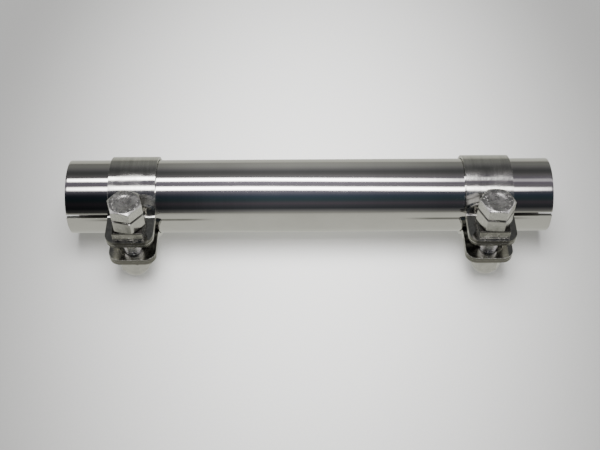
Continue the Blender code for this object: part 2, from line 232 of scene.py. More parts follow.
def vector_node(tree, operation, *values):
    made = node(tree, "ShaderNodeVectorMath", dict(enumerate(values)), operation=operation)
    return made.outputs["Value" if operation in ("LENGTH", "DOT_PRODUCT") else "Vector"]


def scaled_to(tree, value, from_low, from_high, to_low, to_high, smooth=False):
    made = node(tree, "ShaderNodeMapRange", {"Value": value, "From Min": from_low,
                "From Max": from_high, "To Min": to_low, "To Max": to_high},
                interpolation_type="SMOOTHSTEP" if smooth else "LINEAR")
    return made.outputs["Result"]


def ramp(tree, value, stops):
    """A colour ramp from (place, colour) stops."""
    made = node(tree, "ShaderNodeValToRGB", {"Fac": value})
    elements = made.color_ramp.elements
    while len(elements) > 1:
        elements.remove(elements[0])
    elements[0].position = stops[0][0]
    elements[0].color = (*stops[0][1], 1.0)
    for place, shade in stops[1:]:
        elements.new(place).color = (*shade, 1.0)
    return made.outputs["Color"]


def mixed(tree, factor, first, second):
    made = node(tree, "ShaderNodeMix", {0: factor, 6: first, 7: second}, data_type="RGBA")
    return made.outputs[2]


def vector_scaled(tree, vector, scale):
    made = node(tree, "ShaderNodeVectorMath", {0: vector, "Scale": scale}, operation="SCALE")
    return made.outputs["Vector"]


def plus(tree, first, second):
    return math_node(tree, "ADD", first, second)


def times(tree, first, second):
    return math_node(tree, "MULTIPLY", first, second)


def distance_from(tree, value, place_at):
    return math_node(tree, "ABSOLUTE", math_node(tree, "SUBTRACT", value, place_at))


def stretched(tree, scale=1.0, turn=(0.0, 0.0, 0.0), place=(0.0, 0.0, 0.0)):
    """Object coordinates through a Mapping node; a single scale is used on every axis."""
    source = node(tree, "ShaderNodeTexCoord").outputs["Object"]
    made = node(tree, "ShaderNodeMapping", {"Vector": source, "Location": place, "Rotation": turn,
                "Scale": scale if isinstance(scale, tuple) else (scale,) * 3})
    return made.outputs["Vector"]


def noise(tree, scale, detail=2.0, roughness=0.5):
    """Noise over an object's own coordinates."""
    made = node(tree, "ShaderNodeTexNoise", {"Vector": stretched(tree, scale), "Scale": 1.0,
                "Detail": detail, "Roughness": roughness})
    return made.outputs["Fac"]


def shades(tree, value, base, *stops):
    """A ramp through shades of one colour, from (place, share of the colour) stops."""
    return ramp(tree, value, [(place_at, tuple(min(c * share, 1.0) for c in base))
                              for place_at, share in stops])


def from_axis(tree, direction):
    """How far along a direction a point of a piece is from the pipe's axis."""
    offset = vector_node(tree, "SUBTRACT", stretched(tree), (0.0, AXIS_Y, AXIS_Z))
    return vector_node(tree, "DOT_PRODUCT", offset, tuple(direction))


# ---- metal finishes ---------------------------------------------------------------------
WALL_INSIDE = (0.0009, 0.0005)            # depth under the tube's skin: dull milled finish with painted shade, polish
EAR_START = (0.0192, 0.0198)              # from the pipe's axis: still band, fully ear
# painted shade on the ears' cut edge faces, and a painted highlight on their rounded corners
EDGE_PAINTED_SHADE = (0.17, 0.165, 0.15, 1.0)
CORNER_PAINTED_HIGHLIGHT = (0.97, 0.96, 0.93, 1.0)
RUBBED_ROUGH = 0.36
# painted shade along the seams between the pieces of a bolt stack
SEAM_SHADE_REACH = (0.00035, 0.00085)          # from a seam: full painted shade, none
SEAM_SHADE_SHARE = 0.86
SEAM_PAINTED_SHADE = (0.035, 0.033, 0.03, 1.0)


def metal(name, base):
    """A bare metal material, its tree and its shader."""
    material = bpy.data.materials.new(name)
    material.use_nodes = True
    shader = material.node_tree.nodes["Principled BSDF"]
    shader.inputs["Metallic"].default_value = 1.0
    shader.inputs["Base Color"].default_value = (*base, 1.0)
    return material, material.node_tree, shader


def dress(tree, shader, tint, rough, layers):
    """Give a shader its colour, roughness and bump layers of (height, strength, distance)."""
    tree.links.new(tint, shader.inputs["Base Color"])
    tree.links.new(rough, shader.inputs["Roughness"])
    normal = None
    for height, strength, distance in layers:
        made = node(tree, "ShaderNodeBump", {"Height": height, "Strength": strength,
                    "Distance": distance})
        if normal is not None:
            tree.links.new(normal, made.inputs["Normal"])
        normal = made.outputs["Normal"]
    tree.links.new(normal, shader.inputs["Normal"])


def mirror_tube(base):
    """Buffed round and round outside, with faint smudges and a slow ripple; dull milled finish
    inside, its near-black colour painted shade.
    """
    material, tree, shader = metal("mirror_tube", base)
    rings = noise(tree, (5200.0, 30.0, 30.0), 3.0, 0.6)
    broad = noise(tree, (420.0, 12.0, 12.0))
    smudge = noise(tree, (45.0, 60.0, 60.0), 4.0, 0.62)
    ripple = noise(tree, (60.0, 26.0, 26.0), 1.0)
    polish = shades(tree, smudge, base, (0.3, 0.93), (0.62, 1.0), (0.85, 1.05))
    # inside: a dull milled finish, its near-black colour painted shade
    milled_tone_and_shade = ramp(tree, smudge, [(0.3, (0.13, 0.125, 0.12)), (0.8, (0.24, 0.235, 0.225))])
    centred = stretched(tree, (0.0, 1.0, 1.0), place=(0.0, -AXIS_Y, -AXIS_Z))
    inside, outside = (PIPE_RADIUS - depth for depth in WALL_INSIDE)
    outer = scaled_to(tree, vector_node(tree, "LENGTH", centred), inside, outside, 0.0, 1.0)
    shine = scaled_to(tree, rings, 0.25, 0.75, 0.035, 0.085)
    haze = scaled_to(tree, smudge, 0.5, 0.8, 0.0, 0.055)
    dull = scaled_to(tree, outer, 0.0, 1.0, 0.38, 0.0)
    dress(tree, shader, mixed(tree, outer, milled_tone_and_shade, polish), plus(tree, plus(tree, shine, haze), dull),
          [(rings, 0.05, 0.00002), (broad, 0.05, 0.0001), (ripple, 0.05, 0.0008)])
    return material


def ear_edges(tree, tint, rough):
    """Paint shade on the ears' cut edge faces and a highlight on their rounded corners, which also
    get rougher; colour and roughness.
    """
    clamp = CLAMPS["left"]
    normal = node(tree, "ShaderNodeTexCoord").outputs["Normal"]
    upright = math_node(tree, "ABSOLUTE", vector_node(tree, "DOT_PRODUCT", normal,
                        tuple(clamp.up)))
    on_ear = scaled_to(tree, from_axis(tree, clamp.out), *EAR_START, 0.0, 1.0)
    # painted shade: ear faces that stand across the up direction are darkened
    edge_shade_mask = times(tree, on_ear, scaled_to(tree, upright, 0.10, 0.30, 1.0, 0.0))
    rising = scaled_to(tree, upright, 0.18, 0.36, 0.0, 1.0)
    falling = scaled_to(tree, upright, 0.94, 0.99, 1.0, 0.0)
    # painted highlight on the rounded corners between top and edge faces, which also get rougher
    rubbed_wear_and_highlight = times(tree, on_ear, times(tree, rising, falling))
    edge_shaded_tint = mixed(tree, edge_shade_mask, tint, EDGE_PAINTED_SHADE)
    return (mixed(tree, rubbed_wear_and_highlight, edge_shaded_tint, CORNER_PAINTED_HIGHLIGHT),
            plus(tree, rough, times(tree, rubbed_wear_and_highlight, RUBBED_ROUGH)))


def satin_strip(base):
    """Rolled strip: long grain round the band, scuffed patches and worn spots; painted shade and a
    painted highlight on the ears' edges.
    """
    material, tree, shader = metal("satin_strip", base)
    grain = noise(tree, (6500.0, 90.0, 90.0), 4.0, 0.65)
    broad = noise(tree, (700.0, 35.0, 35.0))
    patch = noise(tree, 160.0, 3.0, 0.6)
    rubbed_wear_and_highlight = noise(tree, (70.0, 130.0, 130.0))
    streak = mixed(tree, 0.5, grain, broad)
    tint = shades(tree, streak, base, (0.3, 0.82), (0.55, 1.0), (0.8, 1.14))
    rough = scaled_to(tree, patch, 0.3, 0.75, 0.03, 0.09)
    lines = scaled_to(tree, grain, 0.3, 0.7, -0.03, 0.04)
    worn = scaled_to(tree, rubbed_wear_and_highlight, 0.36, 0.60, 0.01, 0.12, smooth=True)
    # painted shade on the ears' edge faces and a painted highlight on their rounded corners
    tint, rough = ear_edges(tree, tint, plus(tree, plus(tree, rough, lines), worn))
    dress(tree, shader, tint, rough,
          [(grain, 0.16, 0.00003), (broad, 0.12, 0.0001), (patch, 0.10, 0.0003)])
    return material


def tumbled_plate(base):
    """Tumbled plate: soft mottle, fine random scratches, painted shade on the edge faces and a
    painted highlight on the rounded edge corners.
    """
    material, tree, shader = metal("tumbled_plate", base)
    grain = noise(tree, (3800.0, 260.0, 260.0), 3.0, 0.6)
    mottle = noise(tree, 520.0, 4.0, 0.6)
    broad = noise(tree, 260.0, 1.5)
    scratch = node(tree, "ShaderNodeTexVoronoi", {"Scale": 1.0,
                   "Vector": stretched(tree, (900.0, 240.0, 240.0), turn=(0.2, 0.3, 0.6))},
                   feature="DISTANCE_TO_EDGE").outputs["Distance"]
    tint = shades(tree, mottle, base, (0.3, 0.80), (0.6, 1.0), (0.8, 1.10))
    rough = scaled_to(tree, mottle, 0.3, 0.75, 0.06, 0.14)
    scored = scaled_to(tree, scratch, 0.0, 0.03, 0.08, 0.0)
    # painted shade on the edge faces and a painted highlight on their rounded corners
    tint, rough = ear_edges(tree, tint, plus(tree, rough, scored))
    dress(tree, shader, tint, rough,
          [(grain, 0.10, 0.00002), (broad, 0.16, 0.00008), (scratch, 0.05, 0.00006)])
    return material


def seam_grime(tree, tint):
    """Paint shade into a colour along the seams between the pieces of a bolt stack."""
    clamp = CLAMPS["left"]
    height = from_axis(tree, clamp.up)
    for part in ("spacer_nut", "spacer_block"):
        off = distance_from(tree, height, clamp.heights(part)[1])
        # painted shade close to each seam
        seam_shade = scaled_to(tree, off, *SEAM_SHADE_REACH, SEAM_SHADE_SHARE, 0.0, smooth=True)
        tint = mixed(tree, seam_shade, tint, SEAM_PAINTED_SHADE)
    return tint


def headed_steel(base):
    """Cold-headed bolt: pitted scale on the head, duller in the hollows."""
    material, tree, shader = metal("headed_steel", base)
    pits = noise(tree, 1500.0, 5.0, 0.7)
    cloud = noise(tree, 420.0, 3.0, 0.55)
    tint = shades(tree, pits, base, (0.28, 0.62), (0.5, 1.0), (0.75, 1.18))
    # painted shade along the bolt stack's seams
    dress(tree, shader, seam_grime(tree, tint), scaled_to(tree, cloud, 0.3, 0.7, 0.20, 0.36),
          [(pits, 0.30, 0.00008), (cloud, 0.35, 0.00022)])
    return material


def turned_nut(base):
    """Drawn and faced bar: lines up the flats and a few handling marks."""
    material, tree, shader = metal("turned_nut", base)
    drawn = noise(tree, (2600.0, 2600.0, 120.0), 3.0, 0.6)
    cloud = noise(tree, 330.0, 3.0, 0.6)
    tint = shades(tree, cloud, base, (0.3, 0.84), (0.6, 1.0), (0.8, 1.10))
    rough = plus(tree, scaled_to(tree, cloud, 0.3, 0.7, 0.12, 0.25),
                 scaled_to(tree, drawn, 0.3, 0.7, -0.03, 0.05))
    # painted shade along the bolt stack's seams
    dress(tree, shader, seam_grime(tree, tint), rough,
          [(drawn, 0.12, 0.00004), (cloud, 0.25, 0.0002)])
    return material


def linished_block(base):
    """Sawn and linished block: coarse lines one way under a soft mottle."""
    material, tree, shader = metal("linished_block", base)
    lines = noise(tree, (160.0, 2300.0, 2300.0), 3.0, 0.65)
    cloud = noise(tree, 380.0, 4.0, 0.6)
    tint = shades(tree, cloud, base, (0.3, 0.74), (0.6, 1.0), (0.8, 1.12))
    # painted shade along the bolt stack's seams
    dress(tree, shader, seam_grime(tree, tint), scaled_to(tree, cloud, 0.3, 0.7, 0.14, 0.30),
          [(lines, 0.14, 0.00005), (cloud, 0.28, 0.0002)])
    return material


FINISH_MAKERS = {"tube": mirror_tube, "band": satin_strip, "plate": tumbled_plate,
                 "bolt": headed_steel, "nut": turned_nut, "block": linished_block}


def finish(context, name):
    """The material of a finish, made the first time that it is asked for."""
    maker = FINISH_MAKERS[name]
    found = bpy.data.materials.get(maker.__name__)
    return found or maker(tuple(getattr(context.scene.pipe_finish, name)))


# ---- mesh helpers -----------------------------------------------------------------------
def add_object(name, data):
    made = bpy.data.objects.new(name, data)
    bpy.context.scene.collection.objects.link(made)
    return made


def mesh_from(name, points, faces):
    mesh = bpy.data.meshes.new(name)
    mesh.from_pydata([tuple(p) for p in points], [], faces)
    mesh.update()
    mesh.shade_smooth()
    return add_object(name, mesh)


def net(name, rows, closed=False, missing=()):
    """A net of quads over rows of points; a closed net joins each row's end to its start."""
    width = len(rows[0])
    points = [point for row in rows for point in row]
    faces = []
    for i in range(len(rows) - 1):
        for j in range(width if closed else width - 1):
            if (i, j) in missing:
                continue
            k = (j + 1) % width
            faces.append((i * width + j, (i + 1) * width + j, (i + 1) * width + k,
                          i * width + k))
    return mesh_from(name, points, faces)


def add_nodes_modifier(target, tree, values):
    """A Geometry Nodes modifier with its inputs set by identifier."""
    modifier = target.modifiers.new(tree.name, "NODES")
    modifier.node_group = tree
    for item in tree.interface.items_tree:
        if item.name in values:
            modifier[item.identifier] = values[item.name]


def settle(target):
    """Put the modifiers' result in the mesh, in plain form, and drop the modifiers."""
    bpy.context.view_layer.update()
    graph = bpy.context.evaluated_depsgraph_get()
    mesh = bpy.data.meshes.new_from_object(target.evaluated_get(graph), depsgraph=graph,
                                           preserve_all_data_layers=True)
    mesh.name = target.name
    target.modifiers.clear()
    target.data = mesh
    return target


def cut(target, cutter):
    """Take a closed body out of another, and drop the cutter."""
    boolean = target.modifiers.new("cut", "BOOLEAN")
    boolean.operation = "DIFFERENCE"
    boolean.solver = "EXACT"
    boolean.object = cutter
    settle(target)
    bpy.data.objects.remove(cutter, do_unlink=True)


def ease_edges(target, width, segments=2, limit=40.0):
    """Round the sharp edges and weight the normals, so that the big faces stay true."""
    bevel = target.modifiers.new("edges", "BEVEL")
    bevel.width = width
    bevel.segments = segments
    bevel.limit_method = "ANGLE"
    bevel.angle_limit = math.radians(limit)
    bevel.use_clamp_overlap = True
    settle(target)
    target.data.shade_smooth()
    weighted = target.modifiers.new("weighted", "WEIGHTED_NORMAL")
    weighted.keep_sharp = True
    return settle(target)


def place(target, matrix):
    target.data.transform(matrix)
    target.data.update()
    return target


def hand_over(target, node_name, body, material):
    """Give a finished piece its finish, and let it stand for its CAD node."""
    target.data.materials.clear()
    target.data.materials.append(material)
    for face in target.data.polygons:
        face.material_index = 0
    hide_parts(node_name)
    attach(target, body)
    return target


def thicken(target, thickness, offset):
    wall = target.modifiers.new("wall", "SOLIDIFY")
    wall.thickness = thickness
    wall.offset = offset
    return settle(target)


def from_bmesh(name, bm):
    mesh = bpy.data.meshes.new(name)
    bm.to_mesh(mesh)
    bm.free()
    return add_object(name, mesh)


ROD_STEPS = 64


def rod(name, radius, low, high, matrix):
    """A plain closed bar about local Z, as a cutter."""
    bm = bmesh.new()
    bmesh.ops.create_cone(bm, cap_ends=True, segments=ROD_STEPS, radius1=radius,
                          radius2=radius, depth=high - low)
    bmesh.ops.translate(bm, verts=bm.verts, vec=(0.0, 0.0, (low + high) / 2))
    return place(from_bmesh(name, bm), matrix)


# ---- geometry node trees ----------------------------------------------------------------
def geometry_tree(name, inputs):
    """A tree with a geometry input and output and named inputs of (name, kind, default)."""
    found = bpy.data.node_groups.get(name)
    if found:
        return found, None, None
    tree = bpy.data.node_groups.new(name, "GeometryNodeTree")
    tree.interface.new_socket("Geometry", in_out="INPUT", socket_type="NodeSocketGeometry")
    tree.interface.new_socket("Geometry", in_out="OUTPUT", socket_type="NodeSocketGeometry")
    for label, kind, default in inputs:
        socket = tree.interface.new_socket(label, in_out="INPUT", socket_type=f"NodeSocket{kind}")
        if default is not None:
            socket.default_value = default
    return tree, tree.nodes.new("NodeGroupInput"), tree.nodes.new("NodeGroupOutput")


def close_tree(tree, start, end, geometry):
    """Realize the instances, set the finish and send the geometry out."""
    real = node(tree, "GeometryNodeRealizeInstances", {"Geometry": geometry})
    dressed = node(tree, "GeometryNodeSetMaterial", {"Geometry": real.outputs[0],
                   "Material": start.outputs["Finish"]})
    tree.links.new(dressed.outputs[0], end.inputs["Geometry"])


def sheet_place(tree):
    """The flat sheet's own coordinates, one output each."""
    return node(tree, "ShaderNodeSeparateXYZ",
                {0: node(tree, "GeometryNodeInputPosition").outputs[0]}).outputs


def close_moved(tree, start, end, position):
    """Move the sheet's points to their new places, and close the tree."""
    moved = node(tree, "GeometryNodeSetPosition", {"Geometry": start.outputs["Geometry"],
                 "Position": position})
    close_tree(tree, start, end, moved.outputs[0])


def roll_tree():
    """Rolls a flat sheet of (along, round, 0) into a tube about the pipe's axis."""
    tree, start, end = geometry_tree("roll_into_tube", [
        ("Radius", "Float", 0.016), ("Axis", "Vector", None), ("Finish", "Material", None)])
    if start is None:
        return tree
    flat = sheet_place(tree)
    turn = math_node(tree, "DIVIDE", flat["Y"], start.outputs["Radius"])
    across = times(tree, math_node(tree, "COSINE", turn), -1.0)
    ring = node(tree, "ShaderNodeCombineXYZ", {"Y": across, "Z": math_node(tree, "SINE", turn)})
    wide = vector_scaled(tree, ring.outputs[0], start.outputs["Radius"])
    along = node(tree, "ShaderNodeCombineXYZ", {"X": flat["X"]})
    rolled = vector_node(tree, "ADD", vector_node(tree, "ADD", wide, along.outputs[0]),
                         start.outputs["Axis"])
    close_moved(tree, start, end, rolled)
    return tree


def bend_tree():
    """Lays a flat strip of (across, along, 0) on a path, square to X."""
    tree, start, end = geometry_tree("bend_along_path", [
        ("Path", "Object", None), ("Finish", "Material", None)])
    if start is None:
        return tree
    path = node(tree, "GeometryNodeObjectInfo", {"Object": start.outputs["Path"]},
                transform_space="ORIGINAL").outputs["Geometry"]
    flat = sheet_place(tree)
    sample = node(tree, "GeometryNodeSampleCurve", {"Curves": path, "Length": flat["Y"]},
                  mode="LENGTH")
    across = node(tree, "ShaderNodeCombineXYZ", {"X": flat["X"]})
    close_moved(tree, start, end, vector_node(tree, "ADD", sample.outputs["Position"],
                across.outputs[0]))
    return tree


def thread_tree():
    """A rolled thread: one ridge swept along a helix about local Z, downwards from zero."""
    tree, start, end = geometry_tree("rolled_thread", [
        ("Crest Radius", "Float", 0.004), ("Pitch", "Float", 0.00125),
        ("Length", "Float", 0.02), ("Depth", "Float", 0.0006), ("Finish", "Material", None)])
    if start is None:
        return tree
    middle = math_node(tree, "SUBTRACT", start.outputs["Crest Radius"], start.outputs["Depth"])
    turns = math_node(tree, "DIVIDE", start.outputs["Length"], start.outputs["Pitch"])
    spiral = node(tree, "GeometryNodeCurveSpiral", {"Resolution": 40, "Rotations": turns,
                  "Start Radius": middle, "End Radius": middle,
                  "Height": start.outputs["Length"]})
    upright = node(tree, "GeometryNodeSetCurveNormal", {"Curve": spiral.outputs[0]},
                   mode="Z_UP")
    ridge = node(tree, "GeometryNodeCurvePrimitiveCircle", {"Resolution": 4,
                 "Radius": start.outputs["Depth"]}, mode="RADIUS")
    swept = node(tree, "GeometryNodeCurveToMesh", {"Curve": upright.outputs[0],
                 "Profile Curve": ridge.outputs[0], "Fill Caps": True})
    close_tree(tree, start, end, swept.outputs[0])
    return tree


PIP_JITTER = 0.0006
PIP_GAP = 0.45                            # half width of the bare middle, as a share of the ring


def pip_tree():
    """Small raised pips in two loose clusters on a bolt head's outer ring."""
    tree, start, end = geometry_tree("head_pips", [
        ("Ring Radius", "Float", 0.0049), ("Pip Size", "Float", 0.0003), ("Count", "Int", 40),
        ("Seed", "Int", 1), ("Finish", "Material", None)])
    if start is None:
        return tree
    ring = node(tree, "GeometryNodeMeshCircle", {"Vertices": start.outputs["Count"],
                "Radius": start.outputs["Ring Radius"]})
    place_at = node(tree, "GeometryNodeInputPosition").outputs[0]
    jitter = node(tree, "FunctionNodeRandomValue", {"Min": (-PIP_JITTER, -PIP_JITTER, 0.0),
                  "Max": (PIP_JITTER, PIP_JITTER, 0.0), "Seed": start.outputs["Seed"]},
                  data_type="FLOAT_VECTOR").outputs[0]
    loose = node(tree, "GeometryNodeSetPosition", {"Geometry": ring.outputs[0],
                 "Offset": jitter}).outputs[0]
    sideways = math_node(tree, "ABSOLUTE", node(tree, "ShaderNodeSeparateXYZ",
                         {0: place_at}).outputs["Y"])
    chosen = math_node(tree, "GREATER_THAN", sideways,
                       times(tree, start.outputs["Ring Radius"], PIP_GAP))
    size = node(tree, "FunctionNodeRandomValue", {2: 0.35, 3: 1.0,
                "Seed": start.outputs["Seed"]}, data_type="FLOAT").outputs[1]
    pip = node(tree, "GeometryNodeMeshIcoSphere", {"Radius": start.outputs["Pip Size"],
               "Subdivisions": 2})
    flat = node(tree, "GeometryNodeTransform", {"Geometry": pip.outputs[0],
                "Scale": (1.0, 1.0, 0.4)})
    spread = node(tree, "GeometryNodeInstanceOnPoints", {"Points": loose, "Selection": chosen,
                  "Instance": flat.outputs[0], "Scale": size})
    close_tree(tree, start, end, spread.outputs[0])
    return tree


# ---- tube -------------------------------------------------------------------------------
SLOT_STEPS = 14
PLAIN_STEPS = 120
MIDDLE_STEPS = 12


def tube_columns(sizes):
    """Places round the tube, and each slot's first and last column."""
    half_slot = sizes.slot_width / 2 / PIPE_RADIUS
    turns, slots = [], []
    for middle in (sizes.slot_angle, sizes.slot_angle + math.pi):
        slots.append((len(turns), len(turns) + SLOT_STEPS))
        turns += [middle - half_slot * math.cos(math.pi * k / SLOT_STEPS)
                  for k in range(SLOT_STEPS + 1)]
        first, last = middle + half_slot, middle + math.pi - half_slot
        turns += [first + (last - first) * k / PLAIN_STEPS for k in range(1, PLAIN_STEPS)]
    return turns, slots


def build_tube(context):
    """The flat sheet with its slots, rolled up, thickened inwards and eased."""
    sizes = context.scene.pipe_tube
    turns, slots = tube_columns(sizes)
    radius = sizes.slot_width / 2
    slot_centre = PIPE_HALF - sizes.slot_length + radius
    support = 4 * sizes.rim_round
    end_stations = [-PIPE_HALF, -PIPE_HALF + support, -PIPE_HALF + sizes.slot_length / 2,
                    -slot_centre, -slot_centre + 3 * radius]
    reach = slot_centre - 3 * radius
    stations = end_stations + [-reach + 2 * reach * k / MIDDLE_STEPS
                               for k in range(1, MIDDLE_STEPS)]
    stations += [-x for x in reversed(end_stations)]
    left_end, right_end = 3, len(stations) - 4
    rows = [[[x, turn * PIPE_RADIUS, 0.0] for turn in turns] for x in stations]
    missing = set()
    for first, last in slots:
        for column in range(first, last + 1):
            bulge = radius * math.sin(math.pi * (column - first) / (last - first))
            rows[left_end][column][0] += bulge
            rows[right_end][column][0] -= bulge
        for column in range(first, last):
            missing |= {(row, column) for row in range(left_end)}
            missing |= {(row, column) for row in range(right_end, len(stations) - 1)}
    tube = net("tube", rows, closed=True, missing=missing)
    material = finish(context, "tube")
    add_nodes_modifier(tube, roll_tree(), {"Radius": PIPE_RADIUS, "Axis": (0.0, AXIS_Y, AXIS_Z),
                       "Finish": material})
    thicken(settle(tube), sizes.wall, -1.0)
    ease_edges(tube, sizes.rim_round)
    return hand_over(tube, "pipe", "link_pipe", material)


# ---- bands and ear plates ---------------------------------------------------------------
TIP_SHARES = (0.0, 0.12, 0.4, 0.75)       # rows of an ear's tip, from its end inwards
ARCH_SHARES = (0.0, 0.1, 0.4, 0.7)        # rows of a plate's arched end, down to its bend
ARCH_SIDE = 0.06                          # rise of that arch at the plate's two sides
CROWN_STEPS = 288
BEND_STEPS = 14
CLIMB_STEPS = 12
CORNER_STEPS = 10
ACROSS_STEPS = 8


def arc(centre, radius, start, stop, steps):
    return [(centre[0] + radius * math.cos(start + (stop - start) * k / steps),
             centre[1] + radius * math.sin(start + (stop - start) * k / steps))
            for k in range(steps + 1)]


def root_of(clamp, sizes):
    """Where an ear's bend is centred, and the angle where it leaves the band."""
    height = sizes.gap / 2 + sizes.strip + sizes.fillet
    reach = math.sqrt((clamp.band_radius + sizes.fillet) ** 2 - height ** 2)
    return reach, height, math.atan2(height, reach)


def running_lengths(points):
    return [0.0, *np.cumsum([math.dist(a, b) for a, b in zip(points, points[1:])])]


def path_object(name, clamp, points):
    """A poly curve in the clamp's middle plane, at X = 0."""
    curve = bpy.data.curves.new(name, "CURVE")
    curve.dimensions = "3D"
    spline = curve.splines.new("POLY")
    spline.points.add(len(points) - 1)
    origin = Vector((0.0, AXIS_Y, AXIS_Z))
    for knot, (u, v) in zip(spline.points, points):
        knot.co = (*(origin + clamp.out * u + clamp.up * v), 1.0)
    return add_object(name, curve)


def tip_columns(clamp, corner):
    """Places across the strip, close together where the tip's corners turn."""
    inner = clamp.half_width - corner
    side = [inner + corner * math.sin(math.pi / 2 * k / CORNER_STEPS)
            for k in range(CORNER_STEPS + 1)]
    flat = [inner * (2 * k / ACROSS_STEPS - 1) for k in range(1, ACROSS_STEPS)]
    return [-x for x in reversed(side)] + flat + side


def tip_trim(clamp, corner, x):
    """How much shorter the strip is at a place across, for the rounded corner."""
    over = max(abs(x) - (clamp.half_width - corner), 0.0)
    return corner - math.sqrt(max(corner ** 2 - over ** 2, 0.0))


def between(first, second, shares):
    return [[a + (b - a) * t for a, b in zip(first, second)] for t in shares]


def bent_strip(context, name, clamp, points, lines, columns, thickness, hole):
    """A flat strip over lines of running length, bent on its path, thickened and drilled."""
    sizes = context.scene.pipe_clamp
    path = path_object(f"{name}_path", clamp, points)
    rows = [[(clamp.x + x, s, 0.0) for x, s in zip(columns, line)] for line in lines]
    strip = net(name, rows)
    add_nodes_modifier(strip, bend_tree(), {"Path": path, "Finish": finish(context, "band")})
    settle(strip)
    bpy.data.objects.remove(path, do_unlink=True)
    thicken(strip, thickness, 1.0)
    cut(strip, rod(f"{name}_hole", hole, -2 * sizes.gap, 2 * sizes.gap, clamp.bolt_frame()))
    return ease_edges(strip, sizes.edge, segments=4)


def build_band(context, clamp):
    """One strip: lower ear, bend, right round the pipe, bend, upper ear."""
    sizes = context.scene.pipe_clamp
    reach, height, root = root_of(clamp, sizes)
    inner = sizes.gap / 2
    bend = sizes.fillet + sizes.strip
    crown_radius = clamp.band_radius - sizes.strip
    upper_bend = arc((reach, height), bend, math.pi + root, math.pi * 3 / 2, BEND_STEPS)
    crown = arc((0.0, 0.0), crown_radius, TURN - root, root, CROWN_STEPS)
    lower_bend = [(u, -v) for u, v in reversed(upper_bend)]
    points = [(clamp.ear_reach, -inner)] + lower_bend[:-1] + crown + upper_bend[1:]
    points += [(clamp.ear_reach, inner)]
    lengths = running_lengths(points)
    columns = tip_columns(clamp, sizes.corner)
    trim = [tip_trim(clamp, sizes.corner, x) for x in columns]
    end = [lengths[-1] - t for t in trim]
    kept = lengths[1:BEND_STEPS + 1] + lengths[BEND_STEPS + 1:-BEND_STEPS - 1:2]
    kept += lengths[-BEND_STEPS - 1:-1]
    lines = between(trim, [lengths[1]] * len(columns), TIP_SHARES)
    lines += [[s] * len(columns) for s in kept]
    lines += between(end, [lengths[-2]] * len(columns), TIP_SHARES)[::-1]
    band = bent_strip(context, f"{clamp.side}_clamp_band", clamp, points, lines, columns,
                      sizes.strip, sizes.ear_hole)
    return hand_over(band, f"{clamp.side}_band", f"{clamp.side}_clamp",
                     finish(context, "band"))


def build_plate(context, clamp, label):
    """An ear's outer layer: arched end on the band, bend, straight run to the tip."""
    sizes = context.scene.pipe_clamp
    reach, height, root = root_of(clamp, sizes)
    radius = clamp.band_radius + sizes.seat
    bend = sizes.fillet - sizes.seat
    level = sizes.gap / 2 + sizes.strip + sizes.seat
    climb = sizes.arch / clamp.band_radius
    crown = arc((0.0, 0.0), radius, root + climb, root, CLIMB_STEPS)
    points = crown + arc((reach, height), bend, math.pi + root, math.pi * 3 / 2, BEND_STEPS)[1:]
    points += [(clamp.ear_reach, level)]
    lengths = running_lengths(points)
    columns = tip_columns(clamp, sizes.corner)
    foot, crest = math.sin(root), math.sin(root + climb)
    arch = []
    for x in columns:
        share = math.sqrt(max(1.0 - (x / clamp.half_width) ** 2, 0.0))
        share = ARCH_SIDE + (1 - ARCH_SIDE) * share
        arch.append((root + climb - math.asin(foot + (crest - foot) * share)) * radius)
    end = [lengths[-1] - tip_trim(clamp, sizes.corner, x) for x in columns]
    lines = between(arch, [lengths[CLIMB_STEPS]] * len(columns), ARCH_SHARES)
    lines += [[s] * len(columns) for s in lengths[CLIMB_STEPS:-1]]
    lines += between(end, [lengths[-2]] * len(columns), TIP_SHARES)[::-1]
    if label == "lower":
        points = [(u, -v) for u, v in reversed(points)]
        lines = [[lengths[-1] - s for s in line] for line in reversed(lines)]
    plate = bent_strip(context, f"{clamp.side}_{label}_plate", clamp, points, lines, columns,
                       sizes.plate + sizes.joint_gap - sizes.seat, context.scene.pipe_stack.bore)
    return hand_over(plate, f"{clamp.side}_{label}_ear_plate", f"{clamp.side}_clamp",
                     finish(context, "plate"))


def build_plates(context, clamp):
    for label in ("upper", "lower"):
        build_plate(context, clamp, label)


# ---- bolt stacks ------------------------------------------------------------------------
HEX_STEPS = 96
DOME_STEPS = 16
HEAD_HOLLOW = [  # share of the chamfer circle's radius, and depth below the head's top
    (0.0, 0.00034), (0.30, 0.00033), (0.48, 0.00026), (0.58, 0.00012), (0.66, 0.00003),
    (0.74, 0.0)]
SHANK_POINT = (0.0007, 0.0008)            # chamfer of the thread's end: inwards, upwards
PIP_RING = 0.82                           # share of the chamfer circle's radius
PIP_SIZE = 0.00042
PIP_COUNT = 34
SMOOTH_LIMIT = 25.0                       # degrees between faces that still blend
NECK = 0.0003                             # step between a cap nut's hexagon and its dome
DOME_BLEND = 0.0011
BORE_SPARE = 0.0005                       # blind bore beyond the bolt's end


def hex_radius(turn, flats):
    """Distance from a hexagon's axis to its side in a direction; flats face turn = 0, 60, ..."""
    sixth = math.pi / 3
    off = (turn + sixth / 2) % sixth - sixth / 2
    return flats / 2 / math.cos(off)


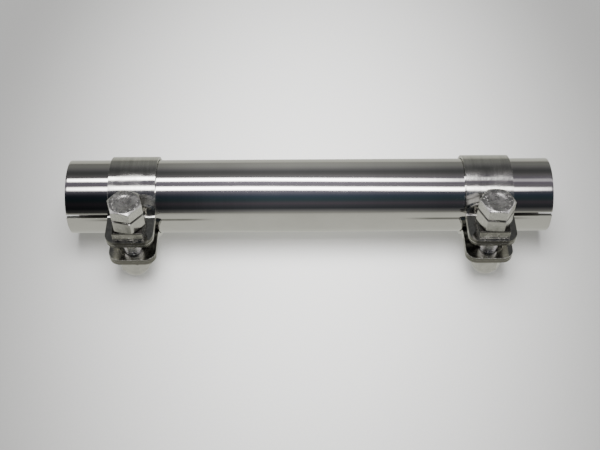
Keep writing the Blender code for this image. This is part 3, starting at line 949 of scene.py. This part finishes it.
def ring_body(name, rings, closed=False):
    """A body about local Z from rings run down the outside: (radius, height) or a function."""
    turns = [TURN * k / HEX_STEPS for k in range(HEX_STEPS)]
    rows = []
    for ring in rings:
        row = []
        for turn in turns:
            radius, height = ring(turn) if callable(ring) else ring
            row.append((radius * math.cos(turn), radius * math.sin(turn), height))
        rows.append(row)
    if closed:
        rows.append(rows[0])
    made = net(name, rows, closed=True)
    bm = bmesh.new()
    bm.from_mesh(made.data)
    bmesh.ops.remove_doubles(bm, verts=bm.verts, dist=1e-7)
    bmesh.ops.recalc_face_normals(bm, faces=bm.faces)
    bm.to_mesh(made.data)
    bm.free()
    made.data.shade_smooth()
    return made


def face_radius(stack):
    return stack.flats * stack.face_share


def chamfer_edge(stack, height, sign):
    """The scalloped line where a corner chamfer meets the flats; sign is +1 at the top."""
    def edge(turn):
        radius = hex_radius(turn, stack.flats)
        return radius, height - sign * (radius - face_radius(stack)) * math.tan(stack.chamfer)
    return edge


def turn_of(stack, clamp):
    return stack.left_turn if clamp.side == "left" else stack.right_turn


def join_into(target, others):
    """Add other bodies' meshes to a target's, at the places they have."""
    bm = bmesh.new()
    for source in [target, *others]:
        bm.from_mesh(source.data)
    mesh = bpy.data.meshes.new(target.name)
    bm.to_mesh(mesh)
    bm.free()
    mesh.shade_smooth()
    target.data = mesh
    for other in others:
        bpy.data.objects.remove(other, do_unlink=True)
    return target


def node_body(name, tree, values):
    """A body that a tree makes by itself."""
    made = add_object(name, bpy.data.meshes.new(name))
    add_nodes_modifier(made, tree, values)
    return settle(made)


def build_bolt(context, clamp):
    """Cold-headed hexagon head with a shallow hollow and raised pips, and a threaded shank."""
    stack, sizes = context.scene.pipe_stack, context.scene.pipe_clamp
    material = finish(context, "bolt")
    shank_end, top = clamp.heights("bolt")
    face = face_radius(stack)
    underside = clamp.heights("spacer_nut")[1] + sizes.seat
    root = stack.bolt / 2 - 2 * stack.thread_depth
    seat = stack.flats * stack.washer_share
    hex_base = underside + stack.washer_face
    inwards, upwards = SHANK_POINT
    rings = [(face * share, top - deep) for share, deep in HEAD_HOLLOW]
    rings += [(face, top), chamfer_edge(stack, top, 1),
              lambda turn: (hex_radius(turn, stack.flats), hex_base), (seat, hex_base),
              (seat, underside), (root, underside), (root, shank_end + upwards),
              (root - inwards, shank_end), (0.0, shank_end)]
    bolt = ring_body(f"{clamp.side}_hex_bolt", rings)
    ease_edges(bolt, stack.head_edge, segments=3, limit=SMOOTH_LIMIT)
    run = underside - shank_end - 2 * stack.pitch
    thread = node_body("thread", thread_tree(), {"Crest Radius": stack.bolt / 2,
                       "Pitch": stack.pitch, "Length": run, "Depth": stack.thread_depth,
                       "Finish": material})
    place(thread, Matrix.Translation((0.0, 0.0, shank_end + stack.pitch)))
    pips = node_body("pips", pip_tree(), {"Ring Radius": face * PIP_RING, "Pip Size": PIP_SIZE,
                     "Count": PIP_COUNT, "Seed": stack.pip_seed + SIDES.index(clamp.side),
                     "Finish": material})
    place(pips, Matrix.Translation((0.0, 0.0, top)))
    place(join_into(bolt, [thread, pips]), clamp.bolt_frame(turn_of(stack, clamp)))
    return hand_over(bolt, f"{clamp.side}_bolt", f"{clamp.side}_bolt_set", material)


def build_spacer_nut(context, clamp):
    """A full nut, chamfered on both faces, with a countersunk bore."""
    stack, sizes = context.scene.pipe_stack, context.scene.pipe_clamp
    high = clamp.heights("spacer_nut")[1]
    low = clamp.heights("spacer_block")[1] + sizes.seat
    face, sink = face_radius(stack), stack.nut_edge * 3
    rings = [(stack.bore + sink, high), (face, high), chamfer_edge(stack, high, 1),
             chamfer_edge(stack, low, -1), (face, low), (stack.bore + sink, low),
             (stack.bore, low + sink), (stack.bore, high - sink)]
    nut = ring_body(f"{clamp.side}_spacer_hexagon", rings, closed=True)
    ease_edges(nut, stack.nut_edge, limit=SMOOTH_LIMIT)
    place(nut, clamp.bolt_frame(turn_of(stack, clamp)))
    return hand_over(nut, f"{clamp.side}_spacer_nut", f"{clamp.side}_bolt_set",
                     finish(context, "nut"))


def build_block(context, clamp):
    """The square block under the spacer nut, drilled through and eased all round."""
    stack, sizes = context.scene.pipe_stack, context.scene.pipe_clamp
    plate_top = clamp.heights("upper_ear_plate")
    high = clamp.heights("spacer_block")[1]
    low = sizes.gap / 2 + sizes.strip + sizes.joint_gap + sizes.plate + sizes.seat
    if not plate_top[0] < low < high:
        raise RuntimeError("the block doesn't stand on the upper ear's plate")
    across_low, across_high = clamp.reach(f"{clamp.side}_spacer_block", clamp.out)
    side = across_high - across_low
    bm = bmesh.new()
    bmesh.ops.create_cube(bm, size=1.0)
    bmesh.ops.subdivide_edges(bm, edges=bm.edges, cuts=3, use_grid_fill=True)
    bmesh.ops.scale(bm, verts=bm.verts, vec=(side, side, high - low))
    bmesh.ops.translate(bm, verts=bm.verts, vec=(0.0, 0.0, (high + low) / 2))
    block = from_bmesh(f"{clamp.side}_square_block", bm)
    cut(block, rod("block_bore", stack.bore, low - side, high + side, Matrix.Identity(4)))
    ease_edges(block, stack.block_edge, segments=3)
    place(block, clamp.bolt_frame())
    return hand_over(block, f"{clamp.side}_spacer_block", f"{clamp.side}_block",
                     finish(context, "block"))


def open_rim(bm):
    return [edge for edge in bm.edges if edge.is_boundary]


def drawn_ring(bm):
    """The vertices of a ring drawn out of a body's open rim."""
    drawn = bmesh.ops.extrude_edge_only(bm, edges=open_rim(bm))["geom"]
    return [item for item in drawn if isinstance(item, bmesh.types.BMVert)]


def build_dome_nut(context, clamp):
    """A cap nut: hexagon, a narrow neck and a round dome over a blind bore."""
    stack, sizes = context.scene.pipe_stack, context.scene.pipe_clamp
    low, cad_high = clamp.heights("dome_nut")
    high = cad_high + sizes.joint_gap - sizes.seat
    face, sink = face_radius(stack), stack.nut_edge * 3
    centre = low + face
    rings = [(stack.bore + sink, high), (face, high), chamfer_edge(stack, high, 1),
             chamfer_edge(stack, centre, -1), (face, centre), (face - NECK, centre - NECK * 0.4),
             (face - NECK, centre - NECK)]
    first = math.asin(DOME_BLEND / face)
    for k in range(DOME_STEPS + 1):
        turn = first + (math.pi / 2 - first) * k / DOME_STEPS
        rings.append((face * math.cos(turn), centre - face * math.sin(turn)))
    nut = ring_body(f"{clamp.side}_cap_nut_body", rings + [(0.0, low)])
    bm = bmesh.new()
    bm.from_mesh(nut.data)
    for vertex in drawn_ring(bm):
        vertex.co.xy = vertex.co.xy.normalized() * stack.bore
        vertex.co.z = high - sink
    for vertex in drawn_ring(bm):
        vertex.co.z = clamp.heights("bolt")[0] - BORE_SPARE
    bmesh.ops.holes_fill(bm, edges=open_rim(bm))
    bmesh.ops.recalc_face_normals(bm, faces=bm.faces)
    bm.to_mesh(nut.data)
    bm.free()
    nut.data.shade_smooth()
    ease_edges(nut, stack.nut_edge, limit=SMOOTH_LIMIT)
    place(nut, clamp.bolt_frame(turn_of(stack, clamp)))
    return hand_over(nut, f"{clamp.side}_dome_nut", f"{clamp.side}_cap_nut",
                     finish(context, "nut"))


# ---- stage ------------------------------------------------------------------------------
FLOOR_HALF = 3.0
FLOOR_DROP = 0.00003                      # the floor's depth under the object's lowest point
# tint of the floor's painted fill glow
FLOOR_PAINTED_FILL_TINT = (1.0, 1.0, 0.93, 1.0)
FLOOR_GLOW_TINT = (1.0, 1.01, 0.90, 1.0)
POOL_SHAPE = (1.0, 0.58, 1.0)             # stretch of the pool of light painted on the floor
POOL_PLACE = (0.0, -0.004, 0.0)
POOL_REACH = 0.17
POOL_FAR = 0.25
# the floor glow that the metal shows fades outwards: a painted pool of light
GLOW_REACH = (0.02, 0.45)
GLOW_FAR = 0.5
CLAMP_PAINTED_SHADOW_Y = -0.052                          # painted shadow: a darker strip of floor in front of each clamp, as the metal shows it
CLAMP_PAINTED_SHADOW_DEPTH = (0.003, 0.013)
CLAMP_PAINTED_SHADOW_WIDTH = (0.016, 0.034)
CLAMP_PAINTED_SHADOW_SHARE = 0.68

SOFTBOX_SIZE = 0.5
SOFTBOX_PLACE = (0.0, 0.12, 0.7)

ROOM = [  # degrees up from the front horizon, over the top to the back one, and radiance
    (0, (0.37, 0.37, 0.35)), (7, (0.19, 0.19, 0.19)), (14, (0.055, 0.06, 0.068)),
    (22, (0.075, 0.078, 0.09)), (30, (0.115, 0.10, 0.12)), (40, (0.062, 0.09, 0.10)),
    (47, (0.06, 0.092, 0.115)), (53, (0.075, 0.10, 0.14)), (59, (0.15, 0.16, 0.21)),
    (66, (0.26, 0.25, 0.31)), (80, (0.40, 0.38, 0.42)), (91, (0.37, 0.34, 0.41)),
    (99, (0.42, 0.39, 0.48)), (118, (0.30, 0.29, 0.30)), (127, (0.18, 0.18, 0.18)),
    (135, (0.15, 0.155, 0.155)), (143, (0.21, 0.21, 0.215)), (153, (0.35, 0.35, 0.345)),
    (163, (0.44, 0.45, 0.42)), (180, (0.46, 0.46, 0.43))]

LAMPS = [  # degrees of height, half breadth and soft edge, then X of middle, half length, fade
    (107.6, 4.6, 3.2, -0.06, 0.17, 0.09),
    (78.6, 4.6, 3.6, -0.01, 0.20, 0.09)]
LAMP_TINT = (1.0, 0.985, 0.975)
LAMP_TAIL = 0.03                          # what is left of a lamp beyond its ends
LAMP_LEAN = (-0.05, 0.20, 0.4, 8.0)       # X from and to, degrees from and to

DUSK = (0.22, 0.5)                        # the room darkens to this share at this X
FRONT_DUSK = (-0.22, -0.02, 0.30)         # X from and to, share of the room in front, left
FRONT_FADE = (55.0, 75.0)                 # degrees where the front gives way to the ceiling
WALL_TINT = (1.0, 0.99, 0.975)
WALL_X = (0.55, 0.75)
WALL_MIDDLE = 95.0
WALL_SPREAD = (45.0, 80.0)
BACKDROP_TINT = (1.0, 1.0, 0.995, 1.0)


def build_camera(context):
    stage = context.scene.pipe_stage
    data = bpy.data.cameras.new("camera")
    data.sensor_width = 36.0
    data.lens = 60.0
    made = add_object("camera", data)
    back = Vector((0.0, -math.cos(stage.elevation), math.sin(stage.elevation)))
    up = Vector((0.0, math.sin(stage.elevation), math.cos(stage.elevation)))
    turn = Matrix((X_AXIS, up, back)).transposed() @ Matrix.Rotation(stage.roll, 3, "Z")
    aim = Vector((stage.aim_x, AXIS_Y, AXIS_Z)) + up * stage.aim_up
    made.location = aim + back * stage.distance
    made.rotation_euler = turn.to_euler()
    context.scene.camera = made


def seen_or_mirrored(tree, output, mirrored, seen):
    """Show one shader to the camera and another to everything else."""
    ray = node(tree, "ShaderNodeLightPath").outputs["Is Camera Ray"]
    both = node(tree, "ShaderNodeMixShader", {0: ray, 1: mirrored.outputs[0], 2: seen.outputs[0]})
    node(tree, output, {"Surface": both.outputs[0]})


def mirrored_floor(tree, away, glow):
    """Strength of the floor in the metal: a glow that fades outwards as a painted pool of light,
    with a painted shadow in front of each clamp.
    """
    strength = scaled_to(tree, away, *GLOW_REACH, glow, GLOW_FAR * glow)
    place_on = node(tree, "ShaderNodeSeparateXYZ", {0: stretched(tree)}).outputs
    # painted shadow on the floor in front of each clamp
    ahead = distance_from(tree, place_on["Y"], CLAMP_PAINTED_SHADOW_Y)
    front = scaled_to(tree, ahead, *CLAMP_PAINTED_SHADOW_DEPTH, 1.0, 0.0, smooth=True)
    for clamp in CLAMPS.values():
        aside = distance_from(tree, place_on["X"], clamp.x)
        painted_clamp_shadow = scaled_to(tree, aside, *CLAMP_PAINTED_SHADOW_WIDTH, CLAMP_PAINTED_SHADOW_SHARE, 0.0, smooth=True)
        kept = math_node(tree, "SUBTRACT", 1.0, times(tree, front, painted_clamp_shadow))
        strength = times(tree, strength, kept)
    return strength


def build_floor(context):
    """A pale sheet: lit for the camera, with a pool of light painted into its colour and a painted
    glow that lifts its shadows; for the metal, a glow with painted light and shadow.
    """
    stage = context.scene.pipe_stage
    corners = [(x * FLOOR_HALF, y * FLOOR_HALF, -FLOOR_DROP)
               for x, y in ((-1, -1), (1, -1), (1, 1), (-1, 1))]
    floor = mesh_from("floor", corners, [(0, 1, 2, 3)])
    material = bpy.data.materials.new("pale_floor")
    material.use_nodes = True
    tree = material.node_tree
    tree.nodes.clear()
    away = vector_node(tree, "LENGTH", stretched(tree, POOL_SHAPE, place=POOL_PLACE))
    # a pool of light painted into the floor's colour and glow, brightest at its middle
    pool = scaled_to(tree, away, 0.0, POOL_REACH, 1.0, POOL_FAR, smooth=True)
    paper = scaled_to(tree, noise(tree, 900.0, 3.0), 0.3, 0.7, 0.985, 1.015)
    painted_pool_and_paper = times(tree, pool, paper)
    shade = vector_scaled(tree, tuple(context.scene.pipe_finish.floor), painted_pool_and_paper)
    lit = node(tree, "ShaderNodeBsdfDiffuse", {"Color": shade, "Roughness": 0.6})
    # painted fill light: the floor glows to lift its own shadows
    painted_fill_glow = node(tree, "ShaderNodeEmission", {"Color": FLOOR_PAINTED_FILL_TINT,
                "Strength": times(tree, painted_pool_and_paper, stage.floor_fill)})
    seen = node(tree, "ShaderNodeAddShader", {0: lit.outputs[0], 1: painted_fill_glow.outputs[0]})
    mirrored = node(tree, "ShaderNodeEmission", {"Color": FLOOR_GLOW_TINT,
                    "Strength": mirrored_floor(tree, away, stage.floor_glow)})
    seen_or_mirrored(tree, "ShaderNodeOutputMaterial", mirrored, seen)
    floor.data.materials.append(material)


def build_softbox(context):
    """A wide overhead light for the floor, which the metal doesn't mirror."""
    data = bpy.data.lights.new("softbox", "AREA")
    data.shape = "DISK"
    data.size = SOFTBOX_SIZE
    data.energy = context.scene.pipe_stage.softbox
    made = add_object("softbox", data)
    made.location = SOFTBOX_PLACE
    made.rotation_euler = (-made.location).to_track_quat("-Z", "Y").to_euler()
    made.visible_glossy = False
    made.visible_camera = False


def lamp_light(tree, height, across, lamp):
    """A long soft-edged lamp, as a share of its full radiance."""
    middle, half, soft, middle_x, half_x, soft_x = lamp
    off = distance_from(tree, height, middle)
    off_x = distance_from(tree, across, middle_x)
    body = scaled_to(tree, off, half - soft, half + soft, 1.0, 0.0, smooth=True)
    ends = scaled_to(tree, off_x, half_x - soft_x, half_x + soft_x, 1.0, LAMP_TAIL, smooth=True)
    return times(tree, body, ends)


def dim_room(tree, height, across, aside):
    """The room's own radiance: banded by height, darker to the sides and in front, left."""
    half_circle = 180.0
    room = ramp(tree, math_node(tree, "DIVIDE", height, half_circle),
                [(degrees / half_circle, shade) for degrees, shade in ROOM])
    dusk = scaled_to(tree, aside, 0.0, DUSK[0], 1.0, DUSK[1], smooth=True)
    front_dusk = scaled_to(tree, across, *FRONT_DUSK, 1.0, smooth=True)
    in_front = scaled_to(tree, height, *FRONT_FADE, 1.0, 0.0, smooth=True)
    front_share = plus(tree, times(tree, in_front, front_dusk),
                       math_node(tree, "SUBTRACT", 1.0, in_front))
    return vector_scaled(tree, room, times(tree, dusk, front_share))


def build_surround(context):
    """What the metal mirrors: a dim room, two long ceiling lamps and bright walls at the sides.

    The camera sees a plain backdrop in its place.
    """
    stage = context.scene.pipe_stage
    world = bpy.data.worlds.new("surround")
    context.scene.world = world
    world.use_nodes = True
    tree = world.node_tree
    tree.nodes.clear()
    facing = node(tree, "ShaderNodeTexCoord").outputs["Generated"]
    split = node(tree, "ShaderNodeSeparateXYZ", {0: facing}).outputs
    across = split["X"]
    aside = math_node(tree, "ABSOLUTE", across)
    angle_up = math_node(tree, "ARCTAN2", split["Z"], times(tree, split["Y"], -1.0))
    height = times(tree, angle_up, math.degrees(1.0))
    askew = plus(tree, height, scaled_to(tree, across, *LAMP_LEAN))
    lamps = plus(tree, *(lamp_light(tree, askew, across, lamp) for lamp in LAMPS))
    overhead = scaled_to(tree, distance_from(tree, height, WALL_MIDDLE), *WALL_SPREAD,
                         stage.window, 0.0, smooth=True)
    beside = times(tree, overhead, scaled_to(tree, aside, *WALL_X, 0.0, 1.0, smooth=True))
    total = dim_room(tree, height, across, aside)
    for tint, strength in ((WALL_TINT, beside), (LAMP_TINT, times(tree, lamps, stage.lamp))):
        total = vector_node(tree, "ADD", total, vector_scaled(tree, tint, strength))
    seen = node(tree, "ShaderNodeBackground", {"Color": BACKDROP_TINT, "Strength": stage.backdrop})
    mirrored = node(tree, "ShaderNodeBackground", {"Color": total, "Strength": 1.0})
    seen_or_mirrored(tree, "ShaderNodeOutputWorld", mirrored, seen)


# ---- operators --------------------------------------------------------------------------
class BuildStep:
    """Runs a step's builders, and then its clamp builders for each clamp in turn."""
    builders = ()
    clamp_builders = ()

    def execute(self, context):
        for build in self.builders:
            build(context)
        for clamp in CLAMPS.values():
            for build in self.clamp_builders:
                build(context, clamp)
        return {"FINISHED"}


class BuildStage(BuildStep, Operator):
    """Set the camera, the pale floor and the soft surround"""
    bl_idname = "linkpipe.build_stage"
    bl_label = "Stage"
    builders = (build_camera, build_floor, build_softbox, build_surround)


class BuildTube(BuildStep, Operator):
    """Roll the slotted tube and give it its mirror polish"""
    bl_idname = "linkpipe.build_tube"
    bl_label = "Tube"
    builders = (build_tube,)


class BuildBands(BuildStep, Operator):
    """Bend both clamp bands round the tube"""
    bl_idname = "linkpipe.build_bands"
    bl_label = "Bands"
    clamp_builders = (build_band,)


class BuildPlates(BuildStep, Operator):
    """Bend the four ear plates"""
    bl_idname = "linkpipe.build_plates"
    bl_label = "Ear Plates"
    clamp_builders = (build_plates,)


class BuildBolts(BuildStep, Operator):
    """Make both hexagon bolts with their rolled threads"""
    bl_idname = "linkpipe.build_bolts"
    bl_label = "Bolts"
    clamp_builders = (build_bolt,)


class BuildSpacers(BuildStep, Operator):
    """Make the spacer nut and the square block of each clamp"""
    bl_idname = "linkpipe.build_spacers"
    bl_label = "Spacer Nuts and Blocks"
    clamp_builders = (build_spacer_nut, build_block)


class BuildDomeNuts(BuildStep, Operator):
    """Make both domed cap nuts"""
    bl_idname = "linkpipe.build_dome_nuts"
    bl_label = "Dome Nuts"
    clamp_builders = (build_dome_nut,)


OPERATORS = (BuildStage, BuildTube, BuildBands, BuildPlates, BuildBolts, BuildSpacers,
             BuildDomeNuts)


class LinkPipePanel(Panel):
    """Lists the link pipe's pieces and their settings"""
    bl_idname = "VIEW3D_PT_link_pipe"
    bl_label = "Link Pipe"
    bl_space_type = "VIEW_3D"
    bl_region_type = "UI"
    bl_category = "Link Pipe"

    def draw(self, context):
        for operator in OPERATORS:
            self.layout.operator(operator.bl_idname)
        for name, group in GROUPS.items():
            box = self.layout.box()
            for key in group.__annotations__:
                box.prop(getattr(context.scene, name), key)


def register():
    for group in GROUPS.values():
        bpy.utils.register_class(group)
    for name, group in GROUPS.items():
        setattr(bpy.types.Scene, name, PointerProperty(type=group))
    for operator in OPERATORS:
        bpy.utils.register_class(operator)
    bpy.utils.register_class(LinkPipePanel)


def unregister():
    bpy.utils.unregister_class(LinkPipePanel)
    for operator in reversed(OPERATORS):
        bpy.utils.unregister_class(operator)
    for name, group in GROUPS.items():
        delattr(bpy.types.Scene, name)
        bpy.utils.unregister_class(group)


def clear_start_objects():
    """Remove what a new file holds, and nothing of the frame."""
    for name in ("Cube", "Light", "Camera"):
        found = bpy.data.objects.get(name)
        if found:
            bpy.data.objects.remove(found, do_unlink=True)


def main():
    clear_start_objects()
    register()
    for operator in OPERATORS:
        category, name = operator.bl_idname.split(".")
        getattr(getattr(bpy.ops, category), name)()


if __name__ == "__main__":
    main()
